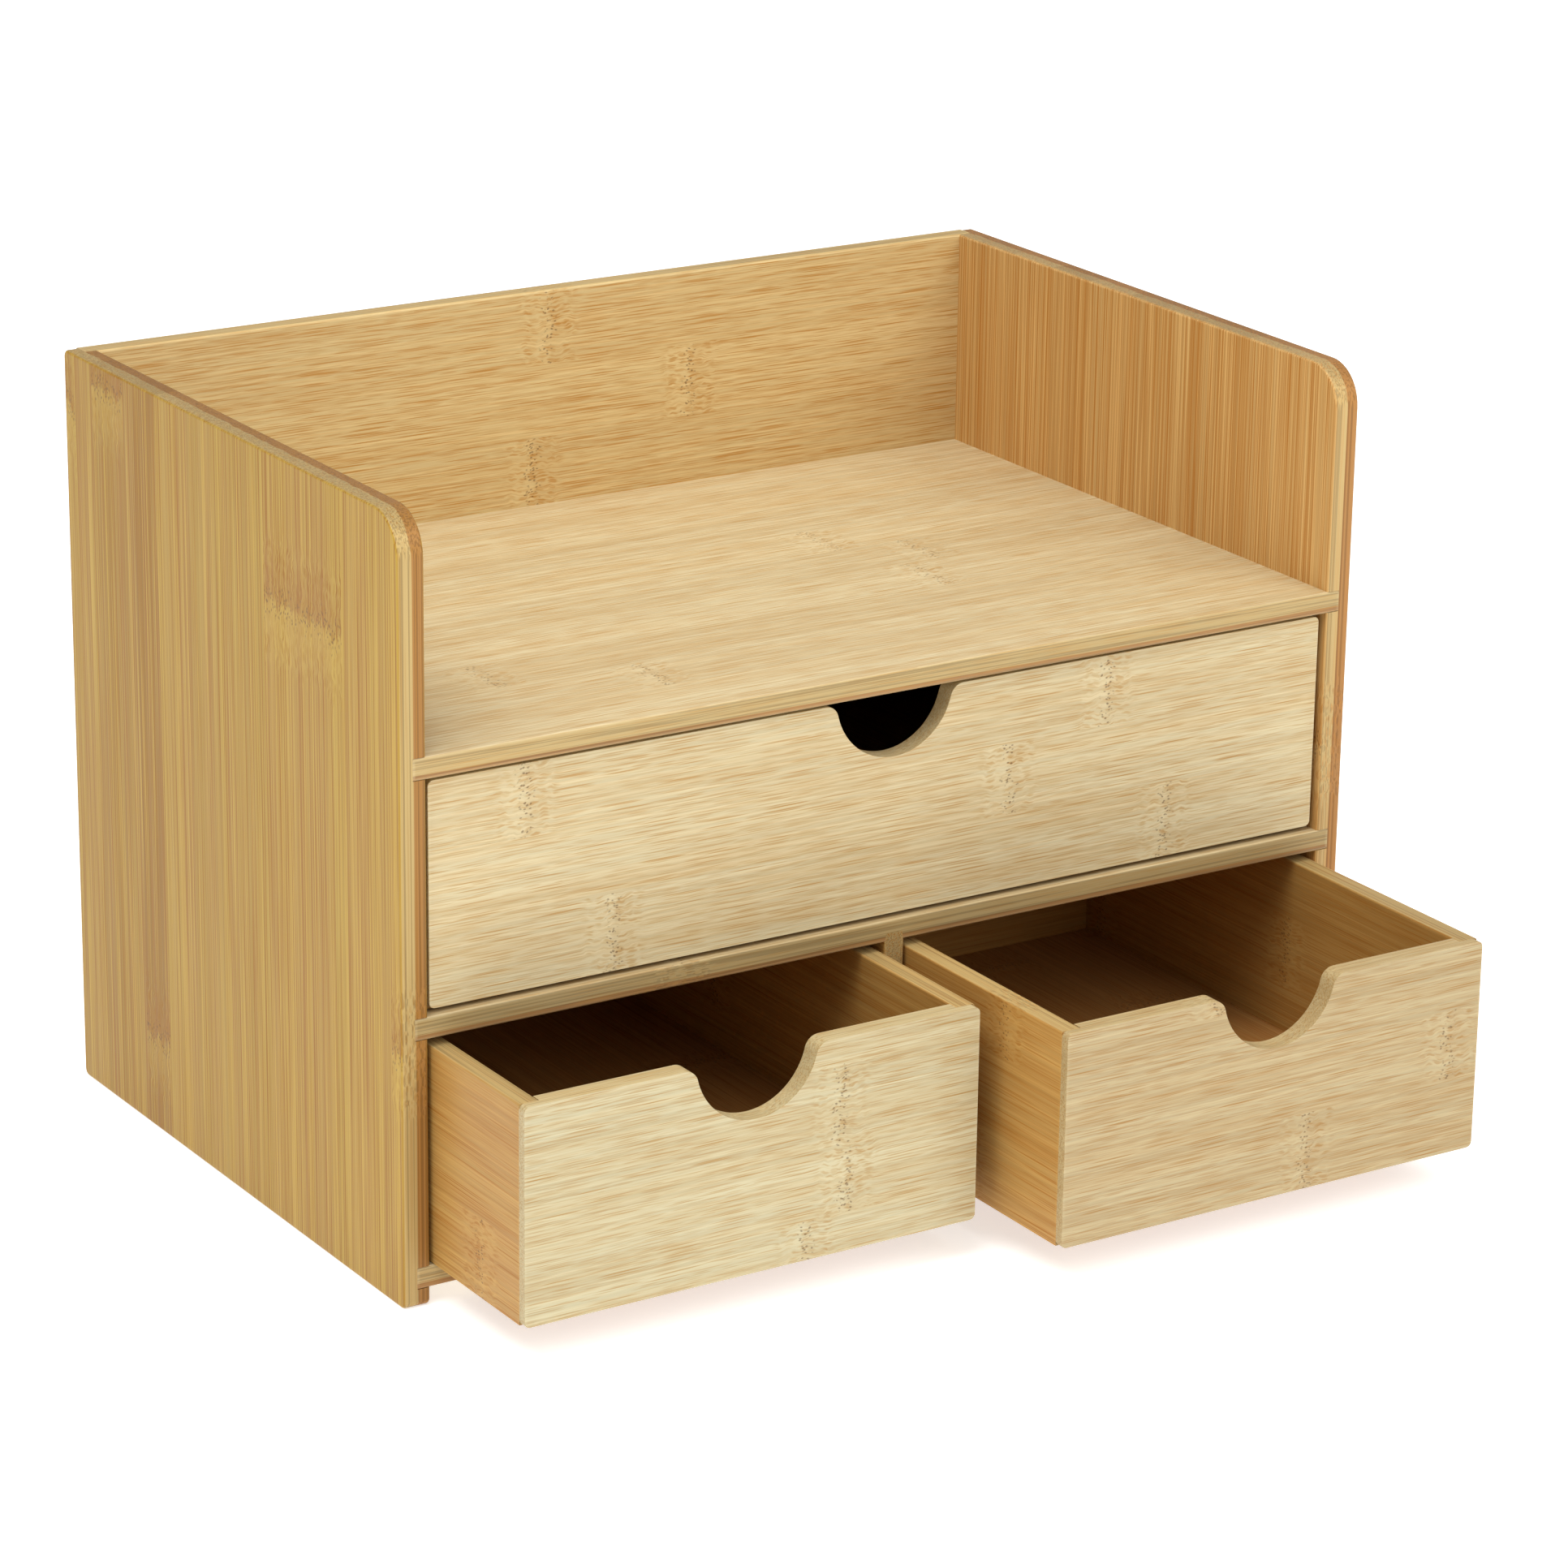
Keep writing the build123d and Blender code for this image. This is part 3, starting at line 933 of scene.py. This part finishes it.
class ORGANIZER_OT_studio(bpy.types.Operator):
    """Set up the pale floor, the soft light and the camera"""

    bl_idname = "organizer.studio"
    bl_label = "Studio"

    def execute(self, context):
        studio = context.scene.organizer_studio
        make_floor(studio)
        make_light("key_light", studio.key, KEY_SIZE, KEY_PLACE)
        make_light("overhead_light", studio.overhead, OVERHEAD_SIZE, OVERHEAD_PLACE)
        make_sky(studio)
        make_camera(studio)
        context.scene.view_settings.view_transform = "Standard"
        return {"FINISHED"}


def make_floor(studio):
    """A plain pale floor, wide enough to fill any view."""
    mesh = bpy.data.meshes.new("studio_floor")
    sheet = bmesh.new()
    bmesh.ops.create_grid(sheet, x_segments=8, y_segments=8, size=FLOOR_REACH)
    sheet.to_mesh(mesh)
    sheet.free()
    floor = bpy.data.objects.new("studio_floor", mesh)
    bpy.context.scene.collection.objects.link(floor)
    material = bpy.data.materials.new("pale_floor")
    material.use_nodes = True
    material.node_tree.nodes.clear()
    paint = Nodes(material.node_tree)
    place = paint.add("ShaderNodeTexCoord").outputs["Object"]
    mottle = paint.add("ShaderNodeTexNoise", {"Vector": place, "Scale": 60.0}).outputs[0]
    shader = paint.add("ShaderNodeBsdfPrincipled", {
        "Base Color": rgba(studio.floor_colour), "Roughness": paint.spread(mottle, 0.2, 0.8, 0.75, 0.85),
        "Specular IOR Level": 0.1, "Emission Color": (1, 1, 1, 1), "Emission Strength": studio.floor_glow,
    })
    paint.add("ShaderNodeOutputMaterial", {"Surface": shader.outputs[0]})
    mesh.materials.append(material)


def make_light(name, power, size, place):
    """A large square light turned to the middle of the object."""
    lamp = bpy.data.lights.new(name, "AREA")
    lamp.energy = power
    lamp.size = size
    light = bpy.data.objects.new(name, lamp)
    light.location = place
    light.rotation_euler = (Vector(LIGHT_AIM) - light.location).to_track_quat("-Z", "Y").to_euler()
    bpy.context.scene.collection.objects.link(light)


def make_sky(studio):
    """Even white light from above, weaker towards the horizon."""
    world = bpy.data.worlds.new("studio_sky")
    world.use_nodes = True
    world.node_tree.nodes.clear()
    sky = Nodes(world.node_tree)
    toward = sky.add("ShaderNodeTexCoord").outputs["Generated"]
    height = sky.add("ShaderNodeSeparateXYZ", {0: toward}).outputs["Z"]
    strength = sky.spread(height, 0.0, 1.0, studio.sky * studio.horizon, studio.sky)
    glow = sky.add("ShaderNodeBackground", {"Color": (1, 1, 1, 1), "Strength": strength})
    sky.add("ShaderNodeOutputWorld", {"Surface": glow.outputs[0]})
    bpy.context.scene.world = world


def make_camera(studio):
    """A long lens at the front left, a little above the tray."""
    lens = bpy.data.cameras.new("studio_camera")
    lens.lens = studio.lens
    camera = bpy.data.objects.new("studio_camera", lens)
    turn, rise = studio.azimuth, studio.elevation
    back = Vector((-math.sin(turn) * math.cos(rise), -math.cos(turn) * math.cos(rise), math.sin(rise)))
    camera.rotation_mode = "QUATERNION"
    camera.location = Vector((0, AIM_Y, studio.aim_height)) + back * studio.distance
    camera.rotation_quaternion = (-back).to_track_quat("-Z", "Y") @ Quaternion((0, 0, 1), studio.roll)
    bpy.context.scene.collection.objects.link(camera)
    bpy.context.scene.camera = camera


class ORGANIZER_PT_sidebar(bpy.types.Panel):
    """Lists the steps in working order, with their settings"""

    bl_idname = "ORGANIZER_PT_sidebar"
    bl_label = "Desk Organizer"
    bl_space_type = "VIEW_3D"
    bl_region_type = "UI"
    bl_category = "Organizer"

    def draw(self, context):
        for step in STEPS:
            self.layout.operator(step.bl_idname)
        scene = context.scene
        for settings in (scene.organizer_bamboo, scene.organizer_fronts, scene.organizer_studio):
            box = self.layout.box()
            for name in settings.__annotations__:
                box.prop(settings, name)


STEPS = (
    ORGANIZER_OT_side_panels,
    ORGANIZER_OT_back_panel,
    ORGANIZER_OT_shelves,
    ORGANIZER_OT_divider,
    ORGANIZER_OT_drawer_fronts,
    ORGANIZER_OT_drawer_boxes,
    ORGANIZER_OT_drawer_floors,
    ORGANIZER_OT_studio,
)
CLASSES = (OrganizerBamboo, OrganizerFronts, OrganizerStudio, *STEPS, ORGANIZER_PT_sidebar)


def register():
    for item in CLASSES:
        bpy.utils.register_class(item)
    bpy.types.Scene.organizer_bamboo = PointerProperty(type=OrganizerBamboo)
    bpy.types.Scene.organizer_fronts = PointerProperty(type=OrganizerFronts)
    bpy.types.Scene.organizer_studio = PointerProperty(type=OrganizerStudio)


def unregister():
    del bpy.types.Scene.organizer_studio
    del bpy.types.Scene.organizer_fronts
    del bpy.types.Scene.organizer_bamboo
    for item in reversed(CLASSES):
        bpy.utils.unregister_class(item)


def main():
    """Runs every step in order."""
    register()
    for step in STEPS:
        group, name = step.bl_idname.split(".")
        getattr(getattr(bpy.ops, group), name)()


if __name__ == "__main__":
    main()
